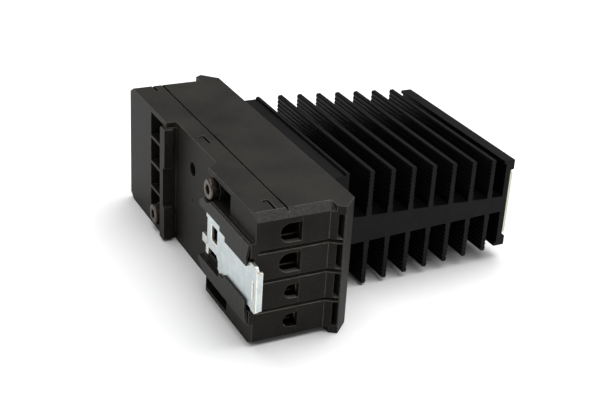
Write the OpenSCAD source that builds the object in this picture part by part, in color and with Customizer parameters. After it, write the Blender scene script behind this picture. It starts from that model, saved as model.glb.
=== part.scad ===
// Solid state relay for a 35 mm mounting rail, with its heat sink.
// The relay lies on its side: +X runs from the rail face to the front of the heat sink,
// Y runs from one terminal end to the other and +Z is across the 45 mm width.
// Inside place() the rail face is x = 0, the middle of the body is y = 0 and the lower
// side is z = 0. place() then moves the whole relay so that the middle of its base is
// the origin.

/* [Body] */
// Width across the relay, which is its pitch along the mounting rail
body_w = 45; // [44:0.5:48]
// Length between the two terminal faces
body_len = 113; // [112:0.5:118]
// Depth from the rail face to the front face of the housing
body_depth = 34; // [34:0.5:36]
// Depth at which the rear base meets the front housing
seam_x = 11.2; // [10.5:0.1:11.5]
// Wall thickness of the moulded shells
wall = 2; // [1.8:0.1:2.2]
// How far the front flange stands out past each terminal face
flange_out = 2.6; // [2:0.1:3]
// Size of the chamfer on each front corner
flange_chamfer = 5.2; // [4.5:0.1:5.5]

/* [Rail mount] */
// Depth of the channel that the mounting rail sits in
channel_depth = 3.6; // [3.4:0.1:3.8]
// Width of the mounting rail
rail_w = 35; // [35]
// Height of the channel's fixed edge above the middle of the body
hook_y = 18.9; // [18.6:0.1:19.2]
// Travel of the sliding clip when it is pulled out
clip_travel = 4.5; // [3:0.5:4.5]
// Thickness of the sheet steel clip
clip_t = 1.2; // [1:0.1:1.2]

/* [Terminals] */
// Distance between terminal rows across the width
row_pitch = 10.3; // [10.2:0.05:10.4]
// Distance from the middle of the body to each terminal screw's axis
screw_y = 47; // [46.5:0.5:47.5]
// Travel of the large clamps from open to fully closed
power_travel = 5.6; // [3:0.1:5.6]
// Travel of the small clamps from open to fully closed
control_travel = 4.0; // [2:0.1:4.0]

/* [Heat sink] */
// Length of the extrusion along Y
sink_len = 70.8; // [68:0.2:71]
// Height of the middle of the extrusion above the lower side
sink_z = 21.9; // [21.5:0.1:22.5]
// Number of fins on each side of the web
fin_count = 7; // [5:1:7]
// Distance from one fin to the next
fin_pitch = 8.03; // [7.8:0.01:8.1]
// Fin thickness
fin_t = 2; // [1.8:0.1:2.2]
// Half the height over the tips of the first fin
fin_reach = 21.1; // [20:0.1:21.3]
// How much shorter each millimetre of depth makes the fins
fin_taper = 0.072; // [0.05:0.001:0.08]
// Pitch of the fine ribs on the faces of the fins
rib_pitch = 1.5; // [1.2:0.1:2]
// Depth of the fine ribs
rib_depth = 0.3; // [0.1:0.05:0.35]

/* [Hidden] */

$fn = 48;
eps = 0.01;

// Body
half_len = body_len / 2;
flange_start = 24.6;               // where the terminal face starts to slope outwards
flange_crest = 28.7;               // where the flange stands out furthest
floor_x = 4;                       // inside of the rear base's floor
bulge_x = 7;                       // inside of the floor behind the windows and pockets
front_in = body_depth - wall;      // inside of the housing's front wall
bevel_y = 3.2;                     // bevel along the terminal faces' long edges
bevel_z = 2;
mid_z = body_w / 2;

// Rail mount
channel_near = hook_y - rail_w - 1.5;   // near side of the rail channel
hook_t = 2.5;                      // thickness of the fixed hook's wall
hook_proud = 1.4;                  // how far the hook stands out of the rail face
lip_over = 1.8;                    // how far the hook's lips reach over the rail
clip_z = 22.2;                     // middle of the clip
clip_gap = 0.1;                    // running gap over and under the clip
clip_in = -clip_gap;               // the clip's inner face
clip_out = clip_in - clip_t;       // the clip's outer face
guide_in = 9.2;                    // from the clip's middle to the guide rails
guide_out = 14;                    // from the clip's middle to their outer edges
guide_lip = 5.9;                   // from the clip's middle to the lips' edges
guide_x = clip_out - clip_gap - 0.7;    // outer face of the guide rails' lips
clip_hook_half = 8.9;              // half width at the clip's hooked end
clip_end_half = 8;                 // half width at its outer end
clip_end_y = -61;                  // outer end of the clip
tab_y = -34.8;                     // the tab that pushes on the spring
spring_seat_y = -51;               // end of the spring's pocket
spring_r = 1.8;                    // mean radius of the spring's coil
spring_wire = 0.3;                 // radius of its wire
spring_x = 2.55;
spring_turns = 8;

// Screws that hold the stack together, at opposite corners of the rail face
base_screw_at = [[28, mid_z - 16.4], [-22.5, mid_z + 16.4]];
boss_r = 3.9;
head_room = 4.3;                   // radius of the clear space round each screw head
boss_top = 1.2;                    // where the screw heads seat
split_x = 18;                      // where the base's bosses meet the housing's

// Terminal rows from the top down: two large ones and two small ones
row_z = [for (i = [0:3]) mid_z + (1.5 - i) * row_pitch];
bar_x = 15.3;                      // underside of the contacts, where the wire is clamped
power = [3.25, 7.2, 6.2, 1.2, 3.4, 0.9, 2.0, 3.2, 3.0, 25.2];
control = [2.4, 4.9, 4.4, 0.8, 2.6, 0.8, 1.5, 2.6, 2.4, 22.8];
// Each list: entry half height, entry depth, contact width, contact thickness, half the
// clamp's inner width, clamp side thickness, screw radius, head radius, head height and
// the depth of the head's underside
clamp_len = 8;
fit_gap = 0.05;                    // radial clearance of a screw in its clamp

// Board and power stage
board_x = 10;
board_t = 1.6;
part_x = board_x + board_t;        // face of the board that carries the parts
substrate_x = body_depth - 1.1;
substrate_half_y = 20.5;
substrate_z = [9.5, 34];
pipe_y = 39;
pipe_z = 21.9;

// Heat sink
sink_x = body_depth + 0.1;         // rear face of the foot
foot_x = 42.4;                     // front face of the foot
fin_x = 51.9;                      // front face of the first fin
plate_x = 104.5;                   // rear face of the end plate
plate_front = 106.6;
tip_x = 107.9;                     // front of the end plate's lips
label_half = 12.7;

// The whole relay's box, used to put the origin at the middle of its base
x_min = guide_x;
x_mid = (x_min + tip_x) / 2;
y_mid = (clip_end_y + half_len + flange_out) / 2;

module place() translate([-x_mid, -y_mid, 0]) children();

// A box between two corners
module box(a, b) translate(a) cube(b - a);

// A round bar along X
module rod_x(x0, x1, y, z, r) translate([x0, y, z]) rotate([0, 90, 0]) cylinder(h = x1 - x0, r = r);

// An outline in Y and Z, drawn out along X
module along_x(x0, x1) translate([x0, 0, 0]) rotate([90, 0, 90]) linear_extrude(x1 - x0) children();

// An outline in X and Z, drawn out along Y
module along_y(y0, y1) translate([0, y1, 0]) rotate([90, 0, 0]) linear_extrude(y1 - y0) children();

// Both terminal ends: -1 is the near end, which the clip pulls out of, and +1 the far end
module both_ends() {
  children();
  mirror([0, 1, 0]) children();
}

// ---- Outer form of the moulded body ----

module body_outline() {
  e = half_len;
  f = half_len + flange_out;
  g = f - flange_chamfer;
  polygon([[0, -e], [flange_start, -e], [flange_crest, -f], [body_depth, -g],
           [body_depth, g], [flange_crest, f], [flange_start, e], [0, e]]);
}

// The bevel along the upper and lower edge of the far terminal face
module end_bevels() {
  for (side = [0, 1])
    translate([0, 0, side * body_w]) mirror([0, 0, side])
      along_x(-1, 26.2)
        polygon([[half_len - bevel_y, -1], [half_len - bevel_y, 0], [half_len, bevel_z],
                 [half_len + 4, bevel_z], [half_len + 4, -1]]);
}

// Grooves between the rows and pockets beside the flange, on the far terminal face
module end_face_relief() {
  groove_half = 0.6;
  groove_depth = 1.4;
  for (i = [0:2]) {
    zc = (row_z[i] + row_z[i + 1]) / 2;
    box([1.2, half_len - groove_depth, zc - groove_half],
        [flange_crest - 0.3, half_len + 4, zc + groove_half]);
  }
  for (z = row_z)
    box([26.8, half_len - groove_depth, z - 4.2], [flange_crest - 0.3, half_len + 4, z + 4.2]);
}

// One wire entry: round on the rail side and straight where the contact lies
module wire_entry(size, z) {
  x_round = bar_x - size[1] + size[0];
  y0 = half_len - 4;
  y1 = half_len + 1;
  translate([x_round, y1, z]) rotate([90, 0, 0]) cylinder(h = y1 - y0, r = size[0]);
  box([x_round, y0, z - size[0]], [bar_x - 0.1, y1, z + size[0]]);
}

module wire_entries() {
  for (i = [0:3]) wire_entry(i < 2 ? power : control, row_z[i]);
}

module body_form() {
  difference() {
    linear_extrude(body_w) body_outline();
    both_ends() {
      end_bevels();
      end_face_relief();
      wire_entries();
    }
  }
}

// The terminal faces' inner part belongs to the rear base as far as the contacts
module end_tab_zone(grow) {
  both_ends()
    box([seam_x - 1, half_len - wall, wall + 0.2 - grow],
        [bar_x - 0.1 + grow, half_len + 1, body_w - wall - 0.2 + grow]);
}

// ---- Rear base ----

// Middles of the snap catches along the seam
catch_y = [51.6, 1.4, -49.8];

// From one side to the other of the housing's arm behind each catch
snap_arms = [[51.6, 54.2], [-2, 4.8], [-54.2, -51.6]];

// The slots that free each snap catch, on both sides of the base
module catch_slots() {
  for (y = catch_y, side = [0, 1])
    translate([0, y, side * body_w]) mirror([0, 0, side]) {
      box([7.2, -3.2, -1], [8.1, 3.2, 1.2]);
      box([6, 2.2, -1], [8.1, 3.2, 1.2]);
    }
}

// Four windows beside the fixed hook
module hook_windows() {
  top = body_w - 1.8;
  pitch = 9.8;
  for (i = [0:3])
    box([-1, hook_y + hook_t + 0.4, top - i * pitch - pitch + 1],
        [5.4, 34.3, top - i * pitch]);
}

// Pockets on either side of the clip
module side_pockets() {
  box([-1, -37.2, clip_z + guide_out], [5.4, -17, body_w - 1.7]);
  box([-1, -36.6, 1.4], [5.4, -19.5, clip_z - guide_out + 1]);
}

// The fixed hook that holds the rail's far edge
module fixed_hook() {
  box([-hook_proud, hook_y - 0.4, 0.6], [floor_x, hook_y + hook_t, body_w - 2]);
  for (z = [[0.6, 13.5], [28.5, body_w - 2]])
    box([-hook_proud, hook_y - lip_over, z[0]], [1.9, hook_y, z[1]]);
}

// One guide rail over the clip's edge; the other is its mirror image
module guide_rail() {
  along_x(guide_x + 0.7, 0.6)
    polygon([[-half_len, guide_in], [-half_len, guide_out], [-21.5, guide_out],
             [-17, guide_in + 1.6], [-17, guide_in]]);
  along_x(guide_x, guide_x + 0.9)
    polygon([[-54.6, guide_in], [-56, guide_out - 0.2], [-21.5, guide_out - 0.2], [-17.2, guide_in + 1.6],
             [-17.2, guide_in]]);
  // The lips that hold the clip down
  along_x(guide_x, guide_x + 0.7) {
    translate([-54.6, guide_lip]) square([16.4, guide_in - guide_lip + 0.5]);
    translate([-38.4, guide_in - 1.6]) square([4.4, 2.1]);
  }
}

module guide_rails() {
  translate([0, 0, clip_z]) {
    guide_rail();
    mirror([0, 0, 1]) guide_rail();
  }
}

// Board posts: a shoulder for the board and a pin through it
post_at = [[-29.5, 8], [-29.5, 29.5], [18.5, 7.6], [29.5, 29.5]];

module rear_base() color([0.2, 0.2, 0.19]) place() {
  difference() {
    union() {
      intersection() {
        difference() {
          body_form();
          box([floor_x, -half_len + wall, wall], [seam_x + 1, half_len - wall, body_w - wall]);
        }
        union() {
          box([-1, -80, -1], [seam_x, 80, body_w + 1]);
          end_tab_zone(0);
        }
      }
      // Thicker floor behind the channel and the pockets
      box([3, channel_near - 3, wall - eps], [5.6, hook_y + hook_t + 1, body_w - wall + eps]);
      box([3, hook_y + hook_t - 1, wall - eps], [bulge_x, 35.8, body_w - wall + eps]);
      box([3, -38.6, clip_z + guide_out - 1.4], [bulge_x, channel_near, body_w - wall + eps]);
      box([3, -38, wall - eps], [bulge_x, channel_near, clip_z - guide_out + 2.2]);
      box([3, spring_seat_y - 2, clip_z - 4.2], [6.5, tab_y + 2, clip_z + 4.2]);
      for (p = base_screw_at) rod_x(boss_top, split_x, p[0], p[1], boss_r);
      for (p = post_at) {
        rod_x(3, board_x, p[0], p[1], 2.2);
        rod_x(3, part_x + 0.8, p[0], p[1], 1.1);
      }
      // Walls between the terminal rows
      for (i = [0:2], s = [-1, 1]) {
        zc = (row_z[i] + row_z[i + 1]) / 2;
        translate([floor_x - 0.5, s > 0 ? 41.6 : -half_len + wall + 0.1, zc - 0.6])
          cube([18.5, half_len - wall - 41.7, 1.2]);
        translate([floor_x - 0.5, s > 0 ? 54 : -54.8, zc - 0.5]) cube([10, 0.8, 1]);
      }
      guide_rails();
    }
    // Channel for the mounting rail
    translate([0, 0, -1])
      linear_extrude(body_w + 2)
        polygon([[-5, channel_near + 0.7], [0, channel_near + 0.7], [0, channel_near - 1.6],
                 [channel_depth, channel_near + 0.9], [channel_depth, hook_y], [-5, hook_y]]);
    difference() {
      union() {
        hook_windows();
        side_pockets();
      }
      for (p = base_screw_at) rod_x(boss_top, split_x, p[0], p[1], boss_r);
    }
    // Room for the clip's hooks to draw back
    for (z = [[clip_z + 6, clip_z + 9.1], [clip_z - 6.7, clip_z - 2.9]])
      box([-0.5, -27.4, z[0]], [2.4, channel_near + 1, z[1]]);
    // Room for the screw heads, and the bores of the bosses
    for (p = base_screw_at) {
      rod_x(-5, boss_top, p[0], p[1], head_room);
      rod_x(-5, split_x + 1, p[0], p[1], 2.2);
    }
    // Pocket for the spring and the clip's tab
    box([-1, spring_seat_y, clip_z - 2.7], [5.2, tab_y + 0.3, clip_z + 2.7]);
    // Recess behind the clip's window
    box([-1, -31, clip_z + 0.2], [1.2, -25.6, clip_z + 6]);
    // Locating holes in the channel's floor
    rod_x(-1, 7, 3.2, 33.9, 2.5);
    box([-1, 2.9, 21.2], [4.2, 3.5, 23]);
    catch_slots();
    // Dark line along the seam
    box([seam_x - 0.25, -80, body_w - 0.6], [seam_x + 1, 80, body_w + 1]);
    box([seam_x - 0.25, -80, -1], [seam_x + 1, 80, 0.6]);
  }
  fixed_hook();
}

// ---- Front housing ----

// A guide tube for one terminal screw's head, and the way in for a screwdriver
module screw_tube(size, z) rod_x(size[9] - 0.2, front_in + eps, screw_y, z, size[7] + 1.1);

module screw_bore(size, z) {
  rod_x(size[9] - 1, size[9] + size[8] + 0.4, screw_y, z, size[7] + 0.2);
  rod_x(size[9], body_depth + 1, screw_y, z, size[7] - 0.5);
}

module front_housing() color([0.2, 0.2, 0.19]) place() {
  difference() {
    union() {
      difference() {
        intersection() {
          body_form();
          box([seam_x, -80, -1], [body_depth + 1, 80, body_w + 1]);
        }
        end_tab_zone(0.1);
        box([seam_x - 1, -half_len + wall, wall], [front_in, half_len - wall, body_w - wall]);
      }
      both_ends() for (i = [0:3]) screw_tube(i < 2 ? power : control, row_z[i]);
      for (p = base_screw_at) rod_x(split_x + 0.3, front_in + eps, p[0], p[1], boss_r);
      // Snap arms that reach down inside the rear base
      for (y = snap_arms, side = [0, 1])
        translate([0, 0, side * body_w]) mirror([0, 0, side]) {
          box([7, y[0], wall + 0.1], [seam_x + 4, y[1], wall + 1.3]);
          box([seam_x + 1, y[0], wall - 0.5], [seam_x + 4, y[1], wall + 1]);
        }
    }
    both_ends() for (i = [0:3]) screw_bore(i < 2 ? power : control, row_z[i]);
    for (p = base_screw_at) rod_x(split_x, body_depth + 1, p[0], p[1], 2.2);
    // Window through which the power stage meets the heat sink
    box([front_in - 1, -22, 8.6], [body_depth + 1, 22, 34.9]);
    for (z = [mid_z - 17, mid_z + 17]) rod_x(front_in - 1, body_depth + 1, 0, z, 1.7);
    rod_x(front_in - 1, body_depth + 1, pipe_y, pipe_z, 1.45);
    // Wider gaps in the seam beside the snap catches
    for (y = catch_y, side = [0, 1])
      translate([0, y, side * body_w]) mirror([0, 0, side])
        box([seam_x - 1, -6.2, -1], [seam_x + 0.4, 2.8, 0.9]);
    box([seam_x - 1, -80, body_w - 0.6], [seam_x + 0.25, 80, body_w + 1]);
    box([seam_x - 1, -80, -1], [seam_x + 0.25, 80, 0.6]);
  }
}

// ---- Heat sink and label ----

function fin_half(x) = fin_reach - fin_taper * (x - fin_x);
function web_half(x) = 5.1 - 0.034 * (x - foot_x);

// Points up one fin, over its tip and down again, with fine ribs on both faces
function fin_points(x1) =
  let (x0 = x1 - fin_t, tip = fin_half(x1), root = web_half(x1),
       ribs = floor((tip - root - 3) / rib_pitch), first = tip - 1.2 - ribs * rib_pitch)
  concat([[x0, root]],
         [for (i = [0:ribs - 1], k = [0, 1]) [x0 + k * rib_depth, first + (i + k * 0.5) * rib_pitch]],
         [[x0, tip - 1], [x0 + 0.3, tip - 0.1], [x1 - 0.3, tip], [x1, tip - 1]],
         [for (i = [ribs - 1:-1:0], k = [1, 0]) [x1 - k * rib_depth, first + (i + k * 0.5) * rib_pitch]],
         [[x1, root]]);

// Upper edge of the extrusion: foot, web with its fins, then the end plate and its lips
foot_half = 20.6;
sink_top = concat(
  [[sink_x, foot_half + 0.6], [sink_x + 0.9, foot_half + 0.6], [sink_x + 1.2, foot_half],
   [foot_x - 1.5, foot_half], [foot_x - 1.1, foot_half + 0.9], [foot_x, foot_half + 0.9],
   [foot_x, web_half(foot_x) + 0.8], [foot_x + 0.8, web_half(foot_x)]],
  [for (i = [0:fin_count - 1]) each fin_points(fin_x + i * fin_pitch)],
  [[plate_x, web_half(plate_x)], [plate_x, 15.2], [plate_x - 0.9, 15.4], [plate_x - 0.9, 16.6],
   [tip_x, 16.6], [tip_x, label_half + 0.3], [plate_front, label_half + 0.1]]);

// The lower edge is its mirror image, in the opposite order
sink_bottom = [for (i = [len(sink_top) - 1:-1:0]) [sink_top[i][0], -sink_top[i][1]]];

module heat_sink() color([0.07, 0.07, 0.075]) place() {
  difference() {
    translate([0, 0, sink_z])
      along_y(-sink_len / 2, sink_len / 2) polygon(concat(sink_top, sink_bottom));
    for (p = base_screw_at) rod_x(sink_x - 1, foot_x - 1.4, p[0], p[1], 2.05);
    for (z = [mid_z - 17, mid_z + 17]) rod_x(sink_x - 1, sink_x + 6, 0, z, 1.55);
  }
}

module front_label_plate() color([0.88, 0.88, 0.8]) place() {
  box([plate_front, -sink_len / 2, sink_z - label_half],
      [plate_front + 1, sink_len / 2, sink_z + label_half]);
}

// ---- Fasteners that hold the stack ----

module base_screws() color([0.42, 0.38, 0.34]) place() {
  for (p = base_screw_at)
    difference() {
      union() {
        rod_x(boss_top - 2.8, boss_top, p[0], p[1], 3.5);
        rod_x(boss_top - eps, foot_x - 2, p[0], p[1], 2);
      }
      translate([boss_top - 3.8, p[0], p[1]]) rotate([0, 90, 0]) cylinder(h = 2.6, r = 1.75, $fn = 6);
    }
}

// ---- Sliding clip and its spring ----

// One of the two joggled hooks that reach over the rail's near edge
module clip_hook(z0, z1) {
  tip = hook_y - rail_w + 2.6;
  translate([0, 0, z0])
    linear_extrude(z1 - z0)
      polygon([[clip_out, -23.4], [clip_in, -23.4], [clip_in, -22.4], [1.9, -18.4], [1.9, tip],
               [1.9 - clip_t, tip], [1.9 - clip_t, -17.7], [clip_out, -21.7]]);
}

module din_clip() color([0.8, 0.82, 0.84]) place() {
  inner = -22.4;
  difference() {
    along_x(clip_out, clip_in)
      translate([0, clip_z])
        polygon([[inner, clip_hook_half], [-32.8, clip_hook_half], [-33.4, clip_hook_half - 2],
                 [-55, clip_end_half - 0.6], [-56.4, clip_end_half], [clip_end_y + 1.5, clip_end_half],
                 [clip_end_y, clip_end_half - 1.5], [clip_end_y, -clip_end_half + 1],
                 [clip_end_y + 1, -clip_end_half], [-57.6, -clip_end_half], [-56.8, -clip_end_half + 0.6],
                 [-40, -clip_end_half + 0.6], [-37, -clip_hook_half], [-33.4, -clip_hook_half],
                 [-31.6, -clip_hook_half + 1.6], [-31.6, -4.6], [-30.2, -3.3], [inner, -3.3]]);
    // Window behind the hooks and slot for a screwdriver
    box([clip_out - 1, -30.6, clip_z + 0.5], [clip_in + 1, -25.9, clip_z + 5.8]);
    box([clip_out - 1, -58.9, clip_z - 3.8], [clip_in + 1, -58.1, clip_z + 2.4]);
  }
  clip_hook(clip_z + clip_hook_half - 2.2, clip_z + clip_hook_half);
  clip_hook(clip_z - 6.3, clip_z - 3.2);
  // The tab that pushes on the spring
  box([clip_in - 0.5, tab_y - 1.2, clip_z - 2.3], [4.6, tab_y, clip_z + 2.3]);
  // The outer end is folded over for a firm grip
  box([clip_out, clip_end_y, clip_z - clip_end_half + 1],
      [0.9, clip_end_y + 1.2, clip_z + clip_end_half - 1.5]);
}

// Points round the wire at each step along the coil
spring_len = tab_y - 1.2 - spring_seat_y;
ring_sides = 6;
turn_steps = 14;
spring_steps = spring_turns * turn_steps;
spring_pts = [for (i = [0:spring_steps], k = [0:ring_sides - 1])
  let (a = 360 * i / turn_steps, b = 360 * k / ring_sides, r = spring_r + spring_wire * cos(b))
    [spring_x + r * cos(a),
     spring_seat_y + spring_wire + 0.05 + (spring_len - 2 * spring_wire - 0.1) * i / spring_steps
       + spring_wire * sin(b),
     clip_z + r * sin(a)]];
spring_sides = [for (i = [0:spring_steps - 1], k = [0:ring_sides - 1])
  let (m = (k + 1) % ring_sides, a = i * ring_sides, b = a + ring_sides)
    [a + k, b + k, b + m, a + m]];
spring_caps = [[for (k = [0:ring_sides - 1]) k],
               [for (k = [ring_sides - 1:-1:0]) spring_steps * ring_sides + k]];

module clip_spring() color([0.6, 0.61, 0.63]) place() {
  polyhedron(spring_pts, concat(spring_sides, spring_caps));
}

// ---- Terminals ----

// A slotted screw: its head is held in the housing's tube and its shank turns in the clamp
module terminal_screw(size, z, s) {
  y = s * screw_y;
  top = size[9] + size[8];
  difference() {
    union() {
      rod_x(bar_x + size[3] + 0.2, size[9] + eps, y, z, size[6]);
      rod_x(size[9], top, y, z, size[7]);
    }
    box([top - 1.2, y - size[7] - 1, z - 0.45], [top + 1, y + size[7] + 1, z + 0.45]);
    box([top - 1.2, y - 0.4, z - size[7] * 0.55], [top + 1, y + 0.4, z + size[7] * 0.55]);
  }
}

// A box clamp: a loop of steel that the wire goes through, with a threaded top
module terminal_clamp(size, z, s) {
  y = s * screw_y;
  low = bar_x - size[1];
  nut_low = bar_x + size[3] + 0.5;
  nut_top = nut_low + (size[6] > 1.8 ? 2 : 1.6);
  half = size[4] + size[5];
  difference() {
    box([low - 1.1, y - clamp_len / 2, z - half], [nut_top, y + clamp_len / 2, z + half]);
    box([low, y - clamp_len, z - size[4]], [nut_low, y + clamp_len, z + size[4]]);
    rod_x(nut_low - 1, nut_top + 1, y, z, size[6] + fit_gap);
  }
}

module near_power_screw_1() color([0.62, 0.6, 0.56]) place() terminal_screw(power, row_z[0], -1);
module near_power_screw_2() color([0.62, 0.6, 0.56]) place() terminal_screw(power, row_z[1], -1);
module near_control_screw_1() color([0.62, 0.6, 0.56]) place() terminal_screw(control, row_z[2], -1);
module near_control_screw_2() color([0.62, 0.6, 0.56]) place() terminal_screw(control, row_z[3], -1);
module far_power_screw_1() color([0.62, 0.6, 0.56]) place() terminal_screw(power, row_z[0], 1);
module far_power_screw_2() color([0.62, 0.6, 0.56]) place() terminal_screw(power, row_z[1], 1);
module far_control_screw_1() color([0.62, 0.6, 0.56]) place() terminal_screw(control, row_z[2], 1);
module far_control_screw_2() color([0.62, 0.6, 0.56]) place() terminal_screw(control, row_z[3], 1);

module near_power_clamp_1() color([0.7, 0.7, 0.68]) place() terminal_clamp(power, row_z[0], -1);
module near_power_clamp_2() color([0.7, 0.7, 0.68]) place() terminal_clamp(power, row_z[1], -1);
module near_control_clamp_1() color([0.7, 0.7, 0.68]) place() terminal_clamp(control, row_z[2], -1);
module near_control_clamp_2() color([0.7, 0.7, 0.68]) place() terminal_clamp(control, row_z[3], -1);
module far_power_clamp_1() color([0.7, 0.7, 0.68]) place() terminal_clamp(power, row_z[0], 1);
module far_power_clamp_2() color([0.7, 0.7, 0.68]) place() terminal_clamp(power, row_z[1], 1);
module far_control_clamp_1() color([0.7, 0.7, 0.68]) place() terminal_clamp(control, row_z[2], 1);
module far_control_clamp_2() color([0.7, 0.7, 0.68]) place() terminal_clamp(control, row_z[3], 1);

// Two bars from the large terminals to the power stage
module power_bars() {
  outer = half_len - wall - 0.1;
  w = power[2] / 2;
  t = power[3];
  riser = [20.3, 20.3 + t];
  upper = [30.4, 33.6];
  lower = [row_z[1] - w, row_z[1] + 1.4];
  // Upper row: straight in, across past the screw boss, then on to the riser
  box([bar_x, 31, row_z[0] - w], [bar_x + t, outer, row_z[0] + w]);
  box([bar_x, 31, upper[0]], [bar_x + t, 34.4, row_z[0] + w]);
  box([bar_x, riser[0], upper[0]], [bar_x + t, 34.4, upper[1]]);
  box([bar_x, riser[0], upper[0]], [substrate_x, riser[1], upper[1]]);
  box([substrate_x - 1, 15.5, upper[0]], [substrate_x, riser[1], upper[1]]);
  // Lower row
  box([bar_x, 36, row_z[1] - w], [bar_x + t, outer, row_z[1] + w]);
  box([bar_x, riser[0], lower[0]], [bar_x + t, 36 + eps, lower[1]]);
  box([bar_x, riser[0], lower[0]], [substrate_x, riser[1], lower[1]]);
  box([substrate_x - 1, 15.5, lower[0]], [substrate_x, riser[1], lower[1]]);
}

// Two contacts from the small terminals to the board
module control_contacts() {
  outer = half_len - wall - 0.1;
  w = control[2] / 2;
  t = control[3];
  for (i = [2, 3]) {
    foot = i == 2 ? row_z[2] : 13.2;
    low = min(row_z[i] - w, foot - 1);
    high = max(row_z[i] + w, foot + 1);
    box([bar_x, 36, row_z[i] - w], [bar_x + t, outer, row_z[i] + w]);
    box([bar_x, 34.5, i == 2 ? low : row_z[i] - w], [bar_x + t, 36 + eps, high]);
    box([bar_x, 31.5, foot - 1], [bar_x + t, 34.6, foot + 1]);
    box([part_x, 31.5, foot - 1], [bar_x + t, 31.5 + t, foot + 1]);
  }
}

module near_line_bars() color([0.78, 0.5, 0.34]) place() mirror([0, 1, 0]) power_bars();
module far_load_bars() color([0.78, 0.5, 0.34]) place() power_bars();
module near_control_contacts() color([0.78, 0.5, 0.34]) place() mirror([0, 1, 0]) control_contacts();
module far_control_contacts() color([0.78, 0.5, 0.34]) place() control_contacts();

// ---- Control board and its parts ----

module control_board() color([0.1, 0.32, 0.16]) place() {
  difference() {
    union() {
      box([board_x, -33, 4.2], [part_x, 33, 33.8]);
      box([board_x, 32, pipe_z - 1.9], [part_x, 41, pipe_z + 1.9]);
    }
    box([board_x - 1, 22.8, 0], [part_x + 1, 34, 11.4]);
    for (p = post_at) rod_x(board_x - 1, part_x + 1, p[0], p[1], 1.15);
  }
}

module optocouplers() color([0.9, 0.9, 0.86]) place() {
  for (y = [-9, 9]) {
    box([part_x + 0.6, y - 4.4, 20.6], [part_x + 4.2, y + 4.4, 27]);
    for (k = [-1:1], z = [19.9, 27])
      box([part_x, y + k * 2.54 - 0.3, z], [part_x + 2.4, y + k * 2.54 + 0.3, z + 0.7]);
  }
}

module snubber_capacitors() color([0.72, 0.16, 0.12]) place() {
  for (y = [-17, -2]) box([part_x, y - 6.5, 6.4], [part_x + 10, y + 6.5, 11.8]);
}

module snubber_resistors() color([0.45, 0.62, 0.68]) place() {
  for (z = [14, 17.6])
    translate([part_x + 1.7, -24, z]) rotate([-90, 0, 0]) cylinder(h = 9, r = 1.5);
}

module varistors() color([0.16, 0.3, 0.62]) place() {
  for (y = [-19, 20]) translate([part_x + 5.4, y, 19.8]) cylinder(h = 4.2, r = 5);
}

module control_ic() color([0.1, 0.1, 0.11]) place() {
  box([part_x + 0.1, 3, 14], [part_x + 1.8, 9, 18]);
}

module status_led() color([0.3, 0.75, 0.35]) place() {
  box([part_x, pipe_y - 1.5, pipe_z - 1.1], [part_x + 0.8, pipe_y + 1.5, pipe_z + 1.1]);
  rod_x(part_x + 0.7, part_x + 2, pipe_y, pipe_z, 1);
}

module light_pipe() color([0.85, 0.9, 0.88]) place() {
  rod_x(part_x + 2.3, body_depth + 0.4, pipe_y, pipe_z, 1.4);
  rod_x(front_in - 1.2, front_in - 0.1, pipe_y, pipe_z, 1.9);
}

module gate_pins() color([0.85, 0.7, 0.3]) place() {
  for (y = [-7.5, 7.5], z = [29.3, 31.9]) {
    rod_x(part_x, substrate_x, y, z, 0.4);
    rod_x(part_x + 0.1, part_x + 2.4, y, z, 1.1);
  }
}

// ---- Power stage ----

module thermal_film() color([0.75, 0.76, 0.78]) place() {
  box([body_depth - 0.1, -20, substrate_z[0] + 0.5], [sink_x, 20, substrate_z[1] - 0.5]);
}

module power_substrate() color([0.88, 0.87, 0.82]) place() {
  box([substrate_x, -substrate_half_y, substrate_z[0]],
      [body_depth - 0.1, substrate_half_y, substrate_z[1]]);
}

module thyristor_chips() color([0.3, 0.31, 0.36]) place() {
  for (y = [-12, 12], z = [14.5, 22])
    box([substrate_x - 0.6, y - 2.6, z - 2.6], [substrate_x, y + 2.6, z + 2.6]);
}

module hold_down_bridge() color([0.62, 0.63, 0.65]) place() {
  difference() {
    union() {
      box([28.6, -3.6, 2.6], [30.4, 3.6, body_w - 2.6]);
      box([30.3, -3.2, 18], [substrate_x, 3.2, 26]);
      for (z = [mid_z - 17, mid_z + 17]) rod_x(30.3, front_in, 0, z, 2.9);
    }
    for (z = [mid_z - 17, mid_z + 17]) rod_x(28, front_in + 1, 0, z, 1.6);
  }
}

module hold_down_screws() color([0.66, 0.66, 0.64]) place() {
  for (z = [mid_z - 17, mid_z + 17])
    difference() {
      union() {
        rod_x(26.2, 28.6, 0, z, 2.75);
        rod_x(28.5, sink_x + 5.6, 0, z, 1.5);
      }
      translate([25, 0, z]) rotate([0, 90, 0]) cylinder(h = 2.6, r = 1.3, $fn = 6);
    }
}

rear_base();
front_housing();
heat_sink();
front_label_plate();
base_screws();
din_clip();
clip_spring();
near_power_screw_1();
near_power_screw_2();
near_control_screw_1();
near_control_screw_2();
far_power_screw_1();
far_power_screw_2();
far_control_screw_1();
far_control_screw_2();
near_power_clamp_1();
near_power_clamp_2();
near_control_clamp_1();
near_control_clamp_2();
far_power_clamp_1();
far_power_clamp_2();
far_control_clamp_1();
far_control_clamp_2();
near_line_bars();
far_load_bars();
near_control_contacts();
far_control_contacts();
control_board();
optocouplers();
snubber_capacitors();
snubber_resistors();
varistors();
control_ic();
status_led();
light_pipe();
gate_pins();
thermal_film();
power_substrate();
thyristor_chips();
hold_down_bridge();
hold_down_screws();
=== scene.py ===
# %% [markdown]
# # A rail-mounted solid state relay
# The relay is a black moulded body on a finned, black anodised heat sink. It lies on its
# side, so we see the face that meets the mounting rail, one terminal end and one side.
# The exact solids come ready-made as "nodes". The job here is to give each of them the
# rounded edges, the fine detail and the finish of the real thing.

# %% Load the solids
import math

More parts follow.
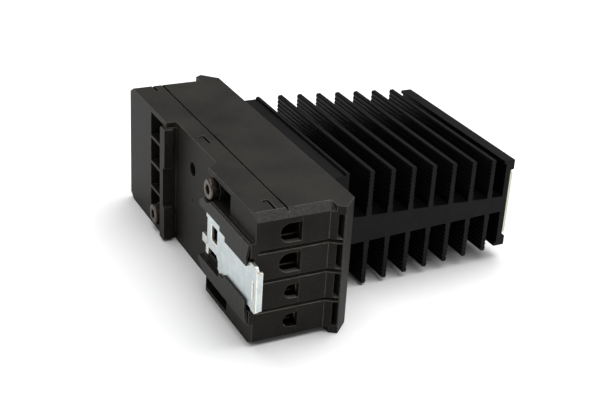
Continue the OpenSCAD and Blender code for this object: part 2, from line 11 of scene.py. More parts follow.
import bmesh
import bpy
from mathutils import Matrix, Vector


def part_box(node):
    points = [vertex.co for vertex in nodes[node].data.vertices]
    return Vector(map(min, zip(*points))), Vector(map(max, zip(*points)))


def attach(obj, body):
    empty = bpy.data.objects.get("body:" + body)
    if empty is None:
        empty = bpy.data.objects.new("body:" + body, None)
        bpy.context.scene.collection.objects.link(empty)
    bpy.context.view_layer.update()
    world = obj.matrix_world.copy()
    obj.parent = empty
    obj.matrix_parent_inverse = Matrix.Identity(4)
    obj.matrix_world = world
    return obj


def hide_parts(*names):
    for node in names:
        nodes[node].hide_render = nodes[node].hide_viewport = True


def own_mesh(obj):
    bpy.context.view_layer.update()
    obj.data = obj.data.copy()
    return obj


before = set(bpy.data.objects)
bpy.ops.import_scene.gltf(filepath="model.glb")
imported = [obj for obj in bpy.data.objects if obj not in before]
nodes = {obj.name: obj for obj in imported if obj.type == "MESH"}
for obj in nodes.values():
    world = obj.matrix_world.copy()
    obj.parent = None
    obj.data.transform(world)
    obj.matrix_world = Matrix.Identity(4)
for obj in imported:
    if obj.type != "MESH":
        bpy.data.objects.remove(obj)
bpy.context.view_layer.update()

# %% [markdown]
# ## One way to say where things are
# Sizes are easiest to think about in millimetres, measured from the rail face (x), the
# middle of the body (y) and the side that the relay lies on (z). The housing's own box
# gives all three, so nothing has to be typed in twice.

# %% Millimetres from the rail face
MM = 0.001
housing_low, housing_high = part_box("front_housing")
BODY_DEPTH = 34
ORIGIN = Vector((housing_high.x - BODY_DEPTH * MM, (housing_low.y + housing_high.y) / 2,
                 housing_low.z))


def at(x, y, z):
    """A point in metres from its place in millimetres."""
    return ORIGIN + Vector((x, y, z)) * MM


def in_mm(point):
    """The place in millimetres of a point in metres."""
    return (Vector(point) - ORIGIN) / MM


print("body is", round((housing_high.y - housing_low.y) / MM, 1), "mm over its flanges")

# %% [markdown]
# ## The camera
# A product picture like this is taken with a long lens from above one corner, a little
# tilted. Three angles and a place describe it: azimuth turns round the object, elevation
# lifts the camera and roll tips the picture.

# %% Camera
SENSOR = 36
LENS = 72.24


def turned(azimuth, elevation, roll):
    """The rotation of a camera that looks back along the given direction."""
    az, el, tip = (math.radians(a) for a in (azimuth, elevation, roll))
    back = Vector((math.sin(az) * math.cos(el), -math.cos(az) * math.cos(el), math.sin(el)))
    right = Vector((0, 0, 1)).cross(back).normalized()
    up = back.cross(right)
    tipped_right = math.cos(tip) * right + math.sin(tip) * up
    tipped_up = math.cos(tip) * up - math.sin(tip) * right
    return Matrix((tipped_right, tipped_up, back)).transposed()


camera_data = bpy.data.cameras.new("camera")
camera_data.sensor_width = SENSOR
camera_data.lens = LENS
camera_data.clip_start = 0.01
camera = bpy.data.objects.new("camera", camera_data)
bpy.context.collection.objects.link(camera)
camera.matrix_world = (Matrix.Translation(at(-134.4, -339.6, 205.3))
                       @ turned(-27.64, 26.14, 3.51).to_4x4())
bpy.context.scene.camera = camera
print("lens", round(camera_data.lens, 1), "mm")

# %% [markdown]
# ## Floor and light
# The relay stands on a white sweep under a big soft lamp, overhead and a little behind,
# with a weak one on the rail face's side. The sweep's own white is what lights the
# upright faces. The surround is white where the camera sees it but gives little light,
# because black surfaces would mirror it. The colours are shown with the plain Standard
# view, so that white paper is white.

# %% Floor
floor_mesh = bpy.data.meshes.new("floor")
bm = bmesh.new()
bmesh.ops.create_grid(bm, x_segments=1, y_segments=1, size=3)
bmesh.ops.translate(bm, vec=(0, 0, housing_low.z - 0.02 * MM), verts=bm.verts)
bm.to_mesh(floor_mesh)
bm.free()
floor = bpy.data.objects.new("floor", floor_mesh)
bpy.context.collection.objects.link(floor)
floor_paint = bpy.data.materials.new("white sweep")
floor_paint.use_nodes = True
sweep = floor_paint.node_tree.nodes["Principled BSDF"]
sweep.inputs["Base Color"].default_value = (0.86, 0.86, 0.865, 1)
sweep.inputs["Roughness"].default_value = 0.8
sweep.inputs["Specular IOR Level"].default_value = 0.1
floor_mesh.materials.append(floor_paint)
print("floor at", round(housing_low.z / MM, 2), "mm")

# %% Light
world = bpy.data.worlds.new("studio")
bpy.context.scene.world = world
world.use_nodes = True
backdrop = world.node_tree.nodes["Background"]
backdrop.inputs["Color"].default_value = (1, 1, 1, 1)
seen = world.node_tree.nodes.new("ShaderNodeLightPath").outputs["Is Camera Ray"]
strength = world.node_tree.nodes.new("ShaderNodeMapRange")
strength.inputs["To Min"].default_value = 0.28
strength.inputs["To Max"].default_value = 1.0
world.node_tree.links.new(seen, strength.inputs["Value"])
world.node_tree.links.new(strength.outputs[0], backdrop.inputs["Strength"])
bpy.context.scene.view_settings.view_transform = "Standard"


def soft_lamp(name, place, aim, size, watts):
    """A square lamp that shines from a place towards another one."""
    lamp = bpy.data.lights.new(name, "AREA")
    lamp.size = size
    lamp.energy = watts
    holder = bpy.data.objects.new(name, lamp)
    bpy.context.collection.objects.link(holder)
    direction = Vector(aim) - Vector(place)
    holder.matrix_world = (Matrix.Translation(place)
                           @ direction.to_track_quat("-Z", "Y").to_matrix().to_4x4())
    return holder


soft_lamp("overhead", (0.45, 0.2, 1.5), (0.05, 0.1, 0), 2.2, 52)
soft_lamp("rail side", (-0.9, 0.1, 0.5), (0, 0, 0.02), 0.6, 1.6)
print("two lamps and a dim surround")

# %% [markdown]
# ## Patterns that several finishes share
# Each pattern is a node group with named sockets. Grain is the tiny unevenness of a
# moulded or plated skin. Drawn lines run along the length of an extrusion or a rolled
# sheet. The painted edge highlight lightens the colour of rounded edges and stands in for
# the light that they catch; it reads the "rim" attribute that the rounding step leaves
# on the mesh.

# %% A helper that builds a node group
FLOAT, VECTOR = "NodeSocketFloat", "NodeSocketVector"


def pattern(name, sockets_in, sockets_out):
    """An empty node group with its sockets, and its nodes, links and two ends."""
    tree = bpy.data.node_groups.new(name, "ShaderNodeTree")
    for label, kind in sockets_in:
        tree.interface.new_socket(label, in_out="INPUT", socket_type=kind)
    for label, kind in sockets_out:
        tree.interface.new_socket(label, in_out="OUTPUT", socket_type=kind)
    start = tree.nodes.new("NodeGroupInput")
    end = tree.nodes.new("NodeGroupOutput")
    return tree, start.outputs, end.inputs


def math_node(tree, operation, a, b):
    """A Math node; a and b are sockets or numbers."""
    made = tree.nodes.new("ShaderNodeMath")
    made.operation = operation
    for socket, value in zip(made.inputs, (a, b)):
        if isinstance(value, (int, float)):
            socket.default_value = value
        else:
            tree.links.new(value, socket)
    return made.outputs[0]


def noise_node(tree, vector, scale, detail=2.0, roughness=0.5):
    """A Noise texture; scale is a socket or a number."""
    made = tree.nodes.new("ShaderNodeTexNoise")
    tree.links.new(vector, made.inputs["Vector"])
    if isinstance(scale, (int, float)):
        made.inputs["Scale"].default_value = scale
    else:
        tree.links.new(scale, made.inputs["Scale"])
    made.inputs["Detail"].default_value = detail
    made.inputs["Roughness"].default_value = roughness
    return made.outputs["Fac"]


print("group helpers ready")

# %% Grain
grain, source, result = pattern(
    "grain", [("Vector", VECTOR), ("Grain per metre", FLOAT), ("Mottle per metre", FLOAT)],
    [("Height", FLOAT), ("Tone", FLOAT)])
fine = noise_node(grain, source["Vector"], source["Grain per metre"], 3, 0.6)
coarse = noise_node(grain, source["Vector"], source["Mottle per metre"], 3, 0.55)
grain.links.new(fine, result["Height"])
weighted = math_node(grain, "MULTIPLY", fine, 0.35)
grain.links.new(math_node(grain, "ADD", weighted, math_node(grain, "MULTIPLY", coarse, 0.65)),
                result["Tone"])
print("grain group made")

# %% Drawn lines
drawn, source, result = pattern(
    "drawn lines", [("Vector", VECTOR), ("Lines per metre", FLOAT), ("Mottle per metre", FLOAT)],
    [("Height", FLOAT), ("Tone", FLOAT)])
squeeze = drawn.nodes.new("ShaderNodeVectorMath")
squeeze.operation = "MULTIPLY"
drawn.links.new(source["Vector"], squeeze.inputs[0])
squeeze.inputs[1].default_value = (1, 0.012, 1)
lines = noise_node(drawn, squeeze.outputs[0], source["Lines per metre"], 2, 0.6)
patches = noise_node(drawn, source["Vector"], source["Mottle per metre"], 3, 0.6)
drawn.links.new(lines, result["Height"])
drawn.links.new(math_node(drawn, "ADD", math_node(drawn, "MULTIPLY", lines, 0.5),
                          math_node(drawn, "MULTIPLY", patches, 0.5)), result["Tone"])
print("drawn lines group made")

# %% Painted edge highlight
painted_edge_highlight, source, result = pattern(
    "painted edge highlight", [("Vector", VECTOR), ("Rim", FLOAT), ("Amount", FLOAT)], [("Mask", FLOAT)])
# The rims get a lighter colour, broken up by noise: a painted highlight where edges catch the
# light.
breaks = noise_node(painted_edge_highlight, source["Vector"], 900.0, 3, 0.6)
uneven = math_node(painted_edge_highlight, "SUBTRACT", math_node(painted_edge_highlight, "MULTIPLY", breaks, 2.2), 0.35)
painted_highlight = math_node(painted_edge_highlight, "MULTIPLY", source["Rim"], uneven)
mask = math_node(painted_edge_highlight, "MULTIPLY", painted_highlight, source["Amount"])
clamp = painted_edge_highlight.nodes.new("ShaderNodeClamp")
painted_edge_highlight.links.new(mask, clamp.inputs["Value"])
painted_edge_highlight.links.new(clamp.outputs[0], result["Mask"])
print("painted edge highlight group made")

# %% [markdown]
# ## Finishes
# A finish mixes a darker and a lighter colour by the pattern's tone, shifts towards a
# third, lighter colour along the rims as a painted edge highlight, varies the roughness
# and gives a little bump. The table below holds what differs from one finish to the next.


# %% A helper that builds a finish
def finish(name, dark, light, painted_highlight_colour, rough, pattern_tree=grain, per_metre=(4000, 60),
           bump=0.2, depth=0.02, painted_highlight_amount=0.3, metallic=0.0, specular=0.5, coat=0.0,
           clear=0.0):
    """A material made of one shared pattern, a painted edge highlight and a Principled shader.
    """
    paint = bpy.data.materials.new(name)
    paint.use_nodes = True
    tree = paint.node_tree
    shader = tree.nodes["Principled BSDF"]
    place = tree.nodes.new("ShaderNodeTexCoord").outputs["Object"]
    surface = tree.nodes.new("ShaderNodeGroup")
    surface.node_tree = pattern_tree
    tree.links.new(place, surface.inputs["Vector"])
    surface.inputs[1].default_value, surface.inputs[2].default_value = per_metre
    spread = tree.nodes.new("ShaderNodeMapRange")
    spread.inputs["From Min"].default_value = 0.36
    spread.inputs["From Max"].default_value = 0.64
    tree.links.new(surface.outputs["Tone"], spread.inputs["Value"])
    body = tree.nodes.new("ShaderNodeMix")
    body.data_type = "RGBA"
    body.inputs["A"].default_value = (*dark, 1)
    body.inputs["B"].default_value = (*light, 1)
    tree.links.new(spread.outputs[0], body.inputs["Factor"])
    rim = tree.nodes.new("ShaderNodeAttribute")
    rim.attribute_name = "rim"
    edges = tree.nodes.new("ShaderNodeGroup")
    edges.node_tree = painted_edge_highlight
    tree.links.new(place, edges.inputs["Vector"])
    tree.links.new(rim.outputs["Fac"], edges.inputs["Rim"])
    edges.inputs["Amount"].default_value = painted_highlight_amount
    # Along the rims the base colour is mixed towards a lighter one: a painted highlight.
    painted_highlight = tree.nodes.new("ShaderNodeMix")
    painted_highlight.data_type = "RGBA"
    painted_highlight.inputs["B"].default_value = (*painted_highlight_colour, 1)
    tree.links.new(body.outputs["Result"], painted_highlight.inputs["A"])
    tree.links.new(edges.outputs["Mask"], painted_highlight.inputs["Factor"])
    tree.links.new(painted_highlight.outputs["Result"], shader.inputs["Base Color"])
    sheen = tree.nodes.new("ShaderNodeMapRange")
    sheen.inputs["To Min"].default_value, sheen.inputs["To Max"].default_value = rough
    tree.links.new(surface.outputs["Tone"], sheen.inputs["Value"])
    tree.links.new(sheen.outputs[0], shader.inputs["Roughness"])
    relief = tree.nodes.new("ShaderNodeBump")
    relief.inputs["Strength"].default_value = bump
    relief.inputs["Distance"].default_value = depth * MM
    tree.links.new(surface.outputs["Height"], relief.inputs["Height"])
    tree.links.new(relief.outputs[0], shader.inputs["Normal"])
    shader.inputs["Metallic"].default_value = metallic
    shader.inputs["Specular IOR Level"].default_value = specular
    shader.inputs["Coat Weight"].default_value = coat
    shader.inputs["Transmission Weight"].default_value = clear
    return paint


print("finish helper ready")

# %% Finishes for what shows
# The third colour of each finish, at its amount, paints an edge highlight into the base colour.
moulded = finish("moulded nylon", (0.0058, 0.0051, 0.0042), (0.0185, 0.017, 0.014),
                 (0.15, 0.14, 0.125), (0.4, 0.66), per_metre=(1700, 45), bump=0.9,
                 depth=0.11, painted_highlight_amount=0.5, specular=0.1)
eroded = finish("spark-textured nylon", (0.003, 0.0028, 0.0024), (0.024, 0.0222, 0.0188),
                (0.15, 0.14, 0.125), (0.34, 0.6), per_metre=(1300, 900), bump=1.0,
                depth=0.25, painted_highlight_amount=0.45, specular=0.15)
# The ledge finish: its colours, far lighter than the nylon's, are a painted highlight.
painted_ledge_highlight = finish("nylon with painted ledge highlight", (0.07, 0.065, 0.056), (0.15, 0.14, 0.122),
                  (0.2, 0.19, 0.17), (0.25, 0.4), per_metre=(1700, 160), bump=0.4,
                  depth=0.05, specular=0.5)
anodised = finish("black anodised aluminium", (0.001, 0.001, 0.0012), (0.0032, 0.0032, 0.0036),
                  (0.03, 0.03, 0.033), (0.4, 0.56), drawn, (4200, 90), bump=0.3, depth=0.03,
                  painted_highlight_amount=0.3, specular=0.05)
sawn = finish("sawn anodised end", (0.0022, 0.0022, 0.0025), (0.007, 0.007, 0.008),
              (0.06, 0.06, 0.064), (0.4, 0.56), per_metre=(3000, 200), bump=0.35,
              depth=0.03, painted_highlight_amount=0.4, specular=0.1)
cream = finish("cream label plate", (0.66, 0.66, 0.52), (0.76, 0.76, 0.62),
               (0.85, 0.85, 0.78), (0.35, 0.5), per_metre=(1800, 30), bump=0.1,
               painted_highlight_amount=0.2)
dull_screw = finish("dulled screw steel", (0.045, 0.037, 0.03), (0.13, 0.11, 0.09),
                    (0.42, 0.38, 0.33), (0.28, 0.48), per_metre=(2600, 500), bump=0.3,
                    painted_highlight_amount=0.6, metallic=0.9)
# The cream rim colour at a high amount is a painted highlight along the sheet edges.
zinc = finish("blue-white zinc plate", (0.46, 0.52, 0.54), (0.66, 0.71, 0.71),
              (0.95, 0.89, 0.72), (0.24, 0.44), drawn, (2600, 260), bump=0.22,
              depth=0.03, painted_highlight_amount=1.1, metallic=0.85)
print("finishes for the outside made")

# %% [markdown]
# ## Finishes for what is inside
# The parts inside are hidden until the relay is taken apart, but each still has its own
# material: nickel, copper, a green board, ceramic and so on.

# %% Finishes for the inside
# In each finish below, the lighter rim colour is a painted edge highlight.
INSIDE = {
    "nickel screw": dict(
        dark=(0.42, 0.40, 0.36), light=(0.62, 0.60, 0.56), painted_highlight_colour=(0.8, 0.78, 0.74),
        rough=(0.22, 0.38), metallic=1.0, per_metre=(3000, 300)),
    "zinc clamp": dict(
        dark=(0.22, 0.22, 0.20), light=(0.36, 0.36, 0.34), painted_highlight_colour=(0.45, 0.45, 0.43),
        rough=(0.28, 0.46), metallic=1.0, pattern_tree=drawn, per_metre=(2400, 200)),
    "spring steel": dict(
        dark=(0.34, 0.34, 0.35), light=(0.52, 0.52, 0.53), painted_highlight_colour=(0.7, 0.7, 0.7),
        rough=(0.2, 0.36), metallic=1.0, per_metre=(3000, 400)),
    # The copper's own colour, made darker still as painted shade for the dim terminal entries
    # that it shows through.
    "tinned copper": dict(
        dark=(0.26, 0.14, 0.08), light=(0.45, 0.26, 0.17), painted_highlight_colour=(0.55, 0.38, 0.28),
        rough=(0.25, 0.42), metallic=1.0, pattern_tree=drawn, per_metre=(2600, 150)),
    "green board": dict(
        dark=(0.012, 0.10, 0.035), light=(0.03, 0.18, 0.07), painted_highlight_colour=(0.4, 0.42, 0.25),
        rough=(0.3, 0.45), per_metre=(900, 250), coat=0.3),
    "white package": dict(
        dark=(0.62, 0.62, 0.58), light=(0.75, 0.75, 0.71), painted_highlight_colour=(0.8, 0.8, 0.78),
        rough=(0.4, 0.55), per_metre=(5000, 100)),
    "red film capacitor": dict(
        dark=(0.35, 0.03, 0.02), light=(0.5, 0.06, 0.035), painted_highlight_colour=(0.6, 0.2, 0.15),
        rough=(0.2, 0.34), per_metre=(1200, 120), coat=0.4),
    "blue resistor": dict(
        dark=(0.12, 0.28, 0.38), light=(0.2, 0.4, 0.5), painted_highlight_colour=(0.4, 0.5, 0.55),
        rough=(0.25, 0.4), per_metre=(2500, 300)),
    "blue varistor": dict(
        dark=(0.02, 0.07, 0.28), light=(0.04, 0.12, 0.4), painted_highlight_colour=(0.2, 0.3, 0.5),
        rough=(0.22, 0.38), per_metre=(1500, 150), coat=0.3),
    "black package": dict(
        dark=(0.01, 0.01, 0.011), light=(0.02, 0.02, 0.022), painted_highlight_colour=(0.05, 0.05, 0.05),
        rough=(0.5, 0.65), per_metre=(7000, 200)),
    "green light": dict(
        dark=(0.08, 0.35, 0.1), light=(0.15, 0.5, 0.2), painted_highlight_colour=(0.4, 0.6, 0.4),
        rough=(0.15, 0.25), per_metre=(800, 200), coat=0.5),
    "clear acrylic": dict(
        dark=(0.78, 0.84, 0.82), light=(0.86, 0.9, 0.88), painted_highlight_colour=(0.9, 0.92, 0.9),
        rough=(0.08, 0.16), per_metre=(900, 100), bump=0.05, clear=0.8),
    "gold pin": dict(
        dark=(0.62, 0.42, 0.12), light=(0.83, 0.62, 0.25), painted_highlight_colour=(0.9, 0.75, 0.4),
        rough=(0.18, 0.3), metallic=1.0, per_metre=(3000, 400)),
    "thermal film": dict(
        dark=(0.38, 0.38, 0.4), light=(0.5, 0.5, 0.52), painted_highlight_colour=(0.55, 0.55, 0.55),
        rough=(0.55, 0.75), per_metre=(1200, 90)),
    "alumina": dict(
        dark=(0.66, 0.65, 0.60), light=(0.78, 0.77, 0.72), painted_highlight_colour=(0.82, 0.8, 0.76),
        rough=(0.45, 0.6), per_metre=(4000, 150)),
    "silicon": dict(
        dark=(0.06, 0.065, 0.09), light=(0.11, 0.12, 0.16), painted_highlight_colour=(0.3, 0.3, 0.34),
        rough=(0.12, 0.24), metallic=0.4, per_metre=(1500, 500)),
}
inside = {name: finish(name, **values) for name, values in INSIDE.items()}
print(len(inside), "finishes for the inside made")

# %% [markdown]
# ## Rounded copies of the exact solids
# Every real moulding, casting and stamping has small radii on its edges, and they are
# what catches the light. The steps are: copy a node's mesh, merge its loose triangles,
# dissolve flat regions into single faces and bevel each sharp edge. The bevel's faces
# get the "rim" value 1, which the painted edge highlight group reads to paint a lighter
# colour on them. Only they and the curved walls are shaded smooth, so that flat faces
# stay perfectly flat. Faces over 40 mm2 are broad flats, never strips of a curved wall. A
# step needs room for two bevels, one from each side; where it has less, the edges that end
# in it stay sharp.

# %% The rounding step
CURVED_WALL = math.radians(26)
SHARP = math.radians(30)
NEARLY_FLAT = 0.02
BROAD = 4e-5
ROOM_FOR_TWO = 2.6
RUNS_ON = 0.8


def merged_copy(node):
    """A closed bmesh of a node, with its flat regions as single faces."""
    made = bmesh.new()
    made.from_mesh(nodes[node].data)
    bmesh.ops.remove_doubles(made, verts=made.verts, dist=2e-6)
    bmesh.ops.dissolve_limit(made, angle_limit=math.radians(1), verts=made.verts,
                             edges=made.edges)
    return made


def step_corners(sharp, room):
    """The corners of steps that are too small to round; arcs do not count as steps."""
    found = set()
    members = set(sharp)
    for edge in sharp:
        if edge.calc_length() > room:
            continue
        along = (edge.verts[1].co - edge.verts[0].co).normalized()
        runs_on = False
        for vertex in edge.verts:
            for other in vertex.link_edges:
                if other is not edge and other in members:
                    turn = (other.other_vert(vertex).co - vertex.co).normalized()
                    runs_on = runs_on or abs(turn.dot(along)) > RUNS_ON
        if not runs_on:
            found.update(edge.verts)
    return found


def round_edges(made, radius, segments=2):
    """Bevels every sharp edge, apart from those that end in a tiny step."""
    rim = made.faces.layers.float.new("rim")
    sharp = [e for e in made.edges if e.is_manifold and e.calc_face_angle(0) > SHARP]
    crowded = step_corners(sharp, ROOM_FOR_TWO * radius * MM)
    sharp = [e for e in sharp if not crowded.intersection(e.verts)]
    beveled = bmesh.ops.bevel(made, geom=sharp, offset=radius * MM, segments=segments,
                              profile=0.5, affect="EDGES", clamp_overlap=False, material=-1)
    for face in beveled["faces"]:
        face[rim] = 1.0
    for face in made.faces:
        curved = any(NEARLY_FLAT < e.calc_face_angle(0) < CURVED_WALL
                     and sum(f[rim] for f in e.link_faces) == 0
                     for e in face.edges if e.is_manifold)
        face.smooth = face[rim] > 0 or (curved and face.calc_area() < BROAD)


def piece(name, made, materials, body, replaced, choose=None):
    """Turns a bmesh into a finished piece that rides on a body."""
    mesh = bpy.data.meshes.new(name)
    for material in materials:
        mesh.materials.append(material)
    for face in made.faces:
        face.material_index = choose(face) if choose else 0
    made.to_mesh(mesh)
    made.free()
    made_object = bpy.data.objects.new(name, mesh)
    bpy.context.collection.objects.link(made_object)
    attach(made_object, body)
    if replaced:
        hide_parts(*replaced)
    triangles = sum(len(p.vertices) - 2 for p in mesh.polygons)
    print(f"{name}: {triangles} triangles")
    return made_object


# %% [markdown]
# ## The moulded shells
# The rear base and the front housing are glass-filled nylon. Most of their skin is
# satin. The clip's guides and the bevels of the terminal faces take a coarser,
# spark-textured finish. The narrow ledges that face up under the grooves between the
# terminal rows take a smoother finish with a much lighter colour, a painted highlight
# for the light that they catch.

# %% Which finish each face of a shell takes
CLIP_Z = 22.2
CLIP_CLEAR = 4
CHANNEL_END = -16
BODY_WIDTH = 45
HALF_LENGTH = 56.5
BEVEL_DEPTH, BEVEL_HEIGHT, BEVEL_END = 3.3, 2.2, 26.5
GROOVE_DEPTH, GROOVE_END = 1.5, 28.5


def shell_finish(face):
    """0 for plain moulded nylon, 1 for spark-textured faces and 2 for ledges with a painted
    highlight.
    """
    x, y, z = in_mm(face.calc_center_median())
    from_side = min(z, BODY_WIDTH - z)
    in_groove = -GROOVE_DEPTH < abs(y) - HALF_LENGTH < 2.5 and 1 < x < GROOVE_END
    # Upward-facing ledges in the grooves: the much lighter colour here is a painted highlight.
    if face.normal.z > 0.4 and in_groove and from_side > 5:
        return 2
    on_guides = x < -0.2 and y < CHANNEL_END and abs(z - CLIP_Z) > CLIP_CLEAR
    sloped = abs(face.normal.y) > 0.3 and abs(face.normal.z) > 0.3
    at_corner = abs(y) > HALF_LENGTH - BEVEL_DEPTH and from_side < BEVEL_HEIGHT
    on_bevel = sloped and at_corner and x < BEVEL_END
    return 1 if on_guides or on_bevel else 0


# %% Rear base and front housing
for name, node, radius in (("base_moulding", "rear_base", 0.12),
                           ("housing_moulding", "front_housing", 0.12)):
    shell = merged_copy(node)
    round_edges(shell, radius)
    piece(name, shell, [moulded, eroded, painted_ledge_highlight], "relay", [node],
          shell_finish)

# %% [markdown]
# ## The heat sink
# An extrusion has the same section all along, so its edges are crisp where the die
# formed them and a little ragged where the saw cut it off. The two sawn ends get their
# own, slightly lighter finish.

# %% Heat sink
sink_low, sink_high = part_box("heat_sink")


def sink_finish(face):
    """0 along the extrusion and 1 on its two sawn ends."""
    y = face.calc_center_median().y
    at_end = min(abs(y - sink_low.y), abs(y - sink_high.y)) < 0.05 * MM
    return 1 if at_end and abs(face.normal.y) > 0.9 else 0


extrusion = merged_copy("heat_sink")
round_edges(extrusion, 0.09, 1)
piece("finned_extrusion", extrusion, [anodised, sawn], "relay", ["heat_sink"],
      sink_finish)

# %% [markdown]
# ## The label plate
# The plate slides in between the lips of the end plate. It starts as a cube, its
# corners and rims are rounded, and a shallow panel is inset in its face for a label.

# %% Label plate
plate_low, plate_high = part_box("front_label_plate")
plate = bmesh.new()
bmesh.ops.create_cube(plate, size=1)
bmesh.ops.scale(plate, vec=plate_high - plate_low, verts=plate.verts)
bmesh.ops.translate(plate, vec=(plate_low + plate_high) / 2, verts=plate.verts)
corners = [e for e in plate.edges if abs(e.verts[0].co.x - e.verts[1].co.x) > 0.5 * MM]
bmesh.ops.bevel(plate, geom=corners, offset=2.2 * MM, segments=5, profile=0.5,
                affect="EDGES", material=-1)
front_face = max(plate.faces, key=lambda f: f.calc_center_median().x)
bmesh.ops.inset_individual(plate, faces=[front_face], thickness=0.9 * MM, depth=0)
bmesh.ops.inset_individual(plate, faces=[front_face], thickness=0.3 * MM, depth=-0.2 * MM)
round_edges(plate, 0.1)
piece("label_plate", plate, [cream], "relay", ["front_label_plate"])

# %% [markdown]
# ## The two long screws
# They are socket-head cap screws: a round head with a knurled side and a hexagon
# socket. The head is lofted from rings. The first ring is the hexagon at the bottom of
# the socket and the last one is the end of the shank.


# %% Where the separate solids of a node are
def islands(node):
    """The boxes, in millimetres, of each separate solid of a node."""
    made = merged_copy(node)
    left, found = set(made.verts), []
    while left:
        group, queue = [], [left.pop()]
        while queue:
            vertex = queue.pop()
            group.append(vertex)
            for edge in vertex.link_edges:
                other = edge.other_vert(vertex)
                if other in left:
                    left.remove(other)
                    queue.append(other)
        places = [in_mm(v.co) for v in group]
        found.append((Vector([min(p[i] for p in places) for i in range(3)]),
                      Vector([max(p[i] for p in places) for i in range(3)])))
    made.free()
    return sorted(found, key=lambda b: b[0].z)


# %% Rings and lofts along X
def ring(made, sides, radius, x, y, z, knurl=0.0):
    """A ring of vertices round an axis along X. A knurl pulls in every other vertex."""
    start = bmesh.ops.create_circle(made, segments=sides, radius=radius * MM,
                                    matrix=Matrix.Rotation(math.pi / 2, 4, "Y"))
    loop = start["verts"]
    if knurl:
        for vertex in loop[::2]:
            vertex.co *= 1 - knurl / radius
    bmesh.ops.translate(made, vec=at(x, y, z), verts=loop)
    return loop


def loft(made, loops):
    """Bridges each ring to the next one and closes both ends."""
    def edges_of(loop):
        members = set(loop)
        return [e for e in made.edges if e.verts[0] in members and e.verts[1] in members]

    for first, second in zip(loops, loops[1:]):
        bmesh.ops.bridge_loops(made, edges=edges_of(first) + edges_of(second))
    for loop in (loops[0], loops[-1]):
        bmesh.ops.contextual_create(made, geom=edges_of(loop))
    bmesh.ops.recalc_face_normals(made, faces=made.faces)


def thread(made, x0, x1, y, z, root, crest, pitch):
    """A helical ridge: a small triangle spun round the axis while it moves along."""
    turns = int((x1 - x0) / pitch) - 1
    steps = 18
    corners = [made.verts.new(at(x0 + dx * pitch, y, z + r))
               for dx, r in ((0.1, root - 0.06), (0.5, crest), (0.9, root - 0.06))]
    profile = made.faces.new(corners)
    bmesh.ops.spin(made, geom=[profile, *profile.edges, *corners], cent=at(x0, y, z),
                   axis=(1, 0, 0), dvec=(pitch * MM / steps, 0, 0),
                   angle=2 * math.pi * turns, steps=steps * turns)
    bmesh.ops.recalc_face_normals(made, faces=made.faces)


# %% Long screws
HEX, ROUND = 6, 60
HEAD_HEIGHT, KNURL, THREAD_LENGTH = 2.8, 0.14, 11.8
# Sides, radius, the plane that the depth is measured from, depth and knurl of each ring
SOCKET_SCREW = [
    (HEX, 1.7, "head", 1.6, 0), (HEX, 1.72, "head", 0.25, 0), (HEX, 2.0, "head", 0.02, 0),
    (ROUND, 2.9, "head", 0, 0), (ROUND, 3.25, "head", 0.18, 0), (ROUND, 3.48, "head", 0.45, 0),
    (ROUND, 3.5, "head", 0.6, KNURL), (ROUND, 3.5, "under", -0.4, KNURL),
    (ROUND, 3.4, "under", -0.2, 0), (ROUND, 3.2, "under", 0, 0), (ROUND, 2.0, "under", 0.01, 0),
    (ROUND, 1.98, "tip", -THREAD_LENGTH - 0.2, 0), (ROUND, 1.68, "tip", -THREAD_LENGTH, 0),
    (ROUND, 1.66, "tip", -0.5, 0), (ROUND, 1.2, "tip", 0, 0),
]
screws = bmesh.new()
for low, high in islands("base_screws"):
    y, z = (low.y + high.y) / 2, (low.z + high.z) / 2
    planes = {"head": low.x, "under": low.x + HEAD_HEIGHT, "tip": high.x}
    loops = [ring(screws, sides, radius, planes[plane] + depth, y, z, knurl)
             for sides, radius, plane, depth, knurl in SOCKET_SCREW]
    loft(screws, loops)
    thread(screws, high.x - THREAD_LENGTH, high.x - 0.4, y, z, 1.67, 1.98, 0.7)
SMALL_FACE = 6e-7
for face in screws.faces:
    face.smooth = face.calc_area() < SMALL_FACE and abs(face.normal.x) < 0.9
piece("stack_screws", screws, [dull_screw], "relay", ["base_screws"])

# %% [markdown]
# ## The rail clip
# It is stamped from 1.2 mm steel sheet and bent, then zinc plated. Sheet edges are
# sheared, so they get a visible radius, and the light that runs along them is painted on
# as a warm, cream highlight colour.

# %% Rail clip
clip = merged_copy("din_clip")
round_edges(clip, 0.28, 3)
piece("clip_plate", clip, [zinc], "rail_clip", ["din_clip"])

# %% [markdown]
# ## The clip's spring
# A compression spring is a wire circle spun round an axis while it moves along it. It
# shortens when the clip is pulled out. Here it is made once, at rest, on the relay's body.

# %% Spring
spring_low, spring_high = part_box("clip_spring")
spring_middle = (spring_low + spring_high) / 2
WIRE = 0.3
COILS, COIL_STEPS = 8, 28
coil_radius = (spring_high.x - spring_low.x) / 2 - WIRE * MM
rise = spring_high.y - spring_low.y - 2.2 * WIRE * MM
spring = bmesh.new()
bmesh.ops.create_circle(spring, segments=10, radius=WIRE * MM, cap_ends=True,
                        matrix=Matrix.Translation((coil_radius, 0, 0)))
bmesh.ops.spin(spring, geom=spring.verts[:] + spring.edges[:] + spring.faces[:],
               cent=(0, 0, 0), axis=(0, 1, 0), dvec=(0, rise / (COILS * COIL_STEPS), 0),
               angle=2 * math.pi * COILS, steps=COILS * COIL_STEPS)
bmesh.ops.translate(spring, verts=spring.verts,
                    vec=(spring_middle.x, spring_low.y + 1.1 * WIRE * MM, spring_middle.z))
bmesh.ops.holes_fill(spring, edges=spring.edges, sides=0)
bmesh.ops.recalc_face_normals(spring, faces=spring.faces)
for face in spring.faces:
    face.smooth = len(face.verts) == 4
coil = piece("clip_coil", spring, [inside["spring steel"]], "relay", ["clip_spring"])
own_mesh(coil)

# %% [markdown]
# ## Terminal screws and clamps
# Each terminal has a slotted screw that turns and a box clamp that travels along it.
# The screw's head is a rounded copy of the exact solid. Its shank is drawn in to the
# root of the thread, and a helical ridge is added on it.

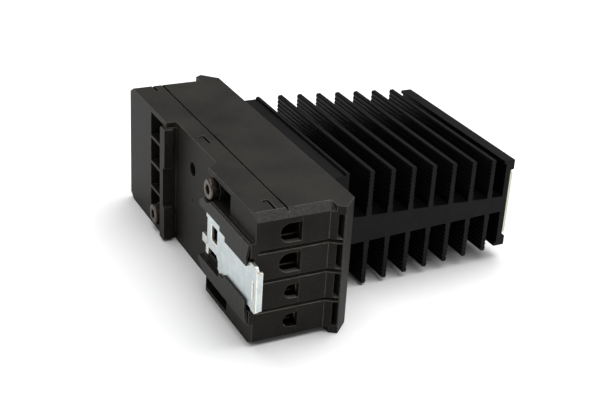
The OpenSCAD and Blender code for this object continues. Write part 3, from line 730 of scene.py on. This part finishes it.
# %% Terminals
for size, head_depth, shank, root, pitch in (("power", 3.0, 2.0, 1.68, 0.7),
                                             ("control", 2.4, 1.5, 1.26, 0.5)):
    for end in ("near", "far"):
        for number in (1, 2):
            node = f"{end}_{size}_screw_{number}"
            low, high = (in_mm(c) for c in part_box(node))
            y, z = (low.y + high.y) / 2, (low.z + high.z) / 2
            under = high.x - head_depth
            body = merged_copy(node)
            round_edges(body, 0.16)
            for vertex in body.verts:
                x, vy, vz = in_mm(vertex.co)
                off = math.hypot(vy - y, vz - z)
                if x < under - 0.3 and off > root:
                    vertex.co = at(x, y + (vy - y) * root / off, z + (vz - z) * root / off)
            thread(body, low.x + 0.3, under - 0.4, y, z, root, shank - 0.01, pitch)
            piece(node + "_piece", body, [inside["nickel screw"]], node, [node])
            node = f"{end}_{size}_clamp_{number}"
            box_clamp = merged_copy(node)
            round_edges(box_clamp, 0.22)
            piece(node + "_piece", box_clamp, [inside["zinc clamp"]], node, [node])

# %% [markdown]
# ## Everything else inside
# Bars, board parts and the power stage are rounded copies too, each with its finish.

# %% Inner parts
REST = [
    ("near_line_bars", "tinned copper", "contact_copper", 0.18),
    ("far_load_bars", "tinned copper", "contact_copper", 0.18),
    ("near_control_contacts", "tinned copper", "contact_copper", 0.12),
    ("far_control_contacts", "tinned copper", "contact_copper", 0.12),
    ("control_board", "green board", "board_green", 0.06),
    ("optocouplers", "white package", "white_epoxy", 0.08),
    ("snubber_capacitors", "red film capacitor", "capacitor_red", 0.5),
    ("snubber_resistors", "blue resistor", "resistor_blue", 0.4),
    ("varistors", "blue varistor", "varistor_blue", 0.9),
    ("control_ic", "black package", "chip_black", 0.12),
    ("status_led", "green light", "led_green", 0.12),
    ("light_pipe", "clear acrylic", "clear_plastic", 0.12),
    ("gate_pins", "gold pin", "gold_pin", 0.08),
    ("power_substrate", "alumina", "ceramic_white", 0.08),
    ("thyristor_chips", "silicon", "silicon", 0.06),
    ("hold_down_bridge", "zinc clamp", "clamp_steel", 0.2),
    ("hold_down_screws", "nickel screw", "terminal_screw", 0.15),
]
for node, paint, slot, radius in REST:
    copy = merged_copy(node)
    round_edges(copy, radius)
    piece(node + "_piece", copy, [inside[paint]], "relay", [node])
nodes["thermal_film"].data.materials.clear()
nodes["thermal_film"].data.materials.append(inside["thermal film"])
print("inner parts made")

# %% Last line
print("all pieces made")
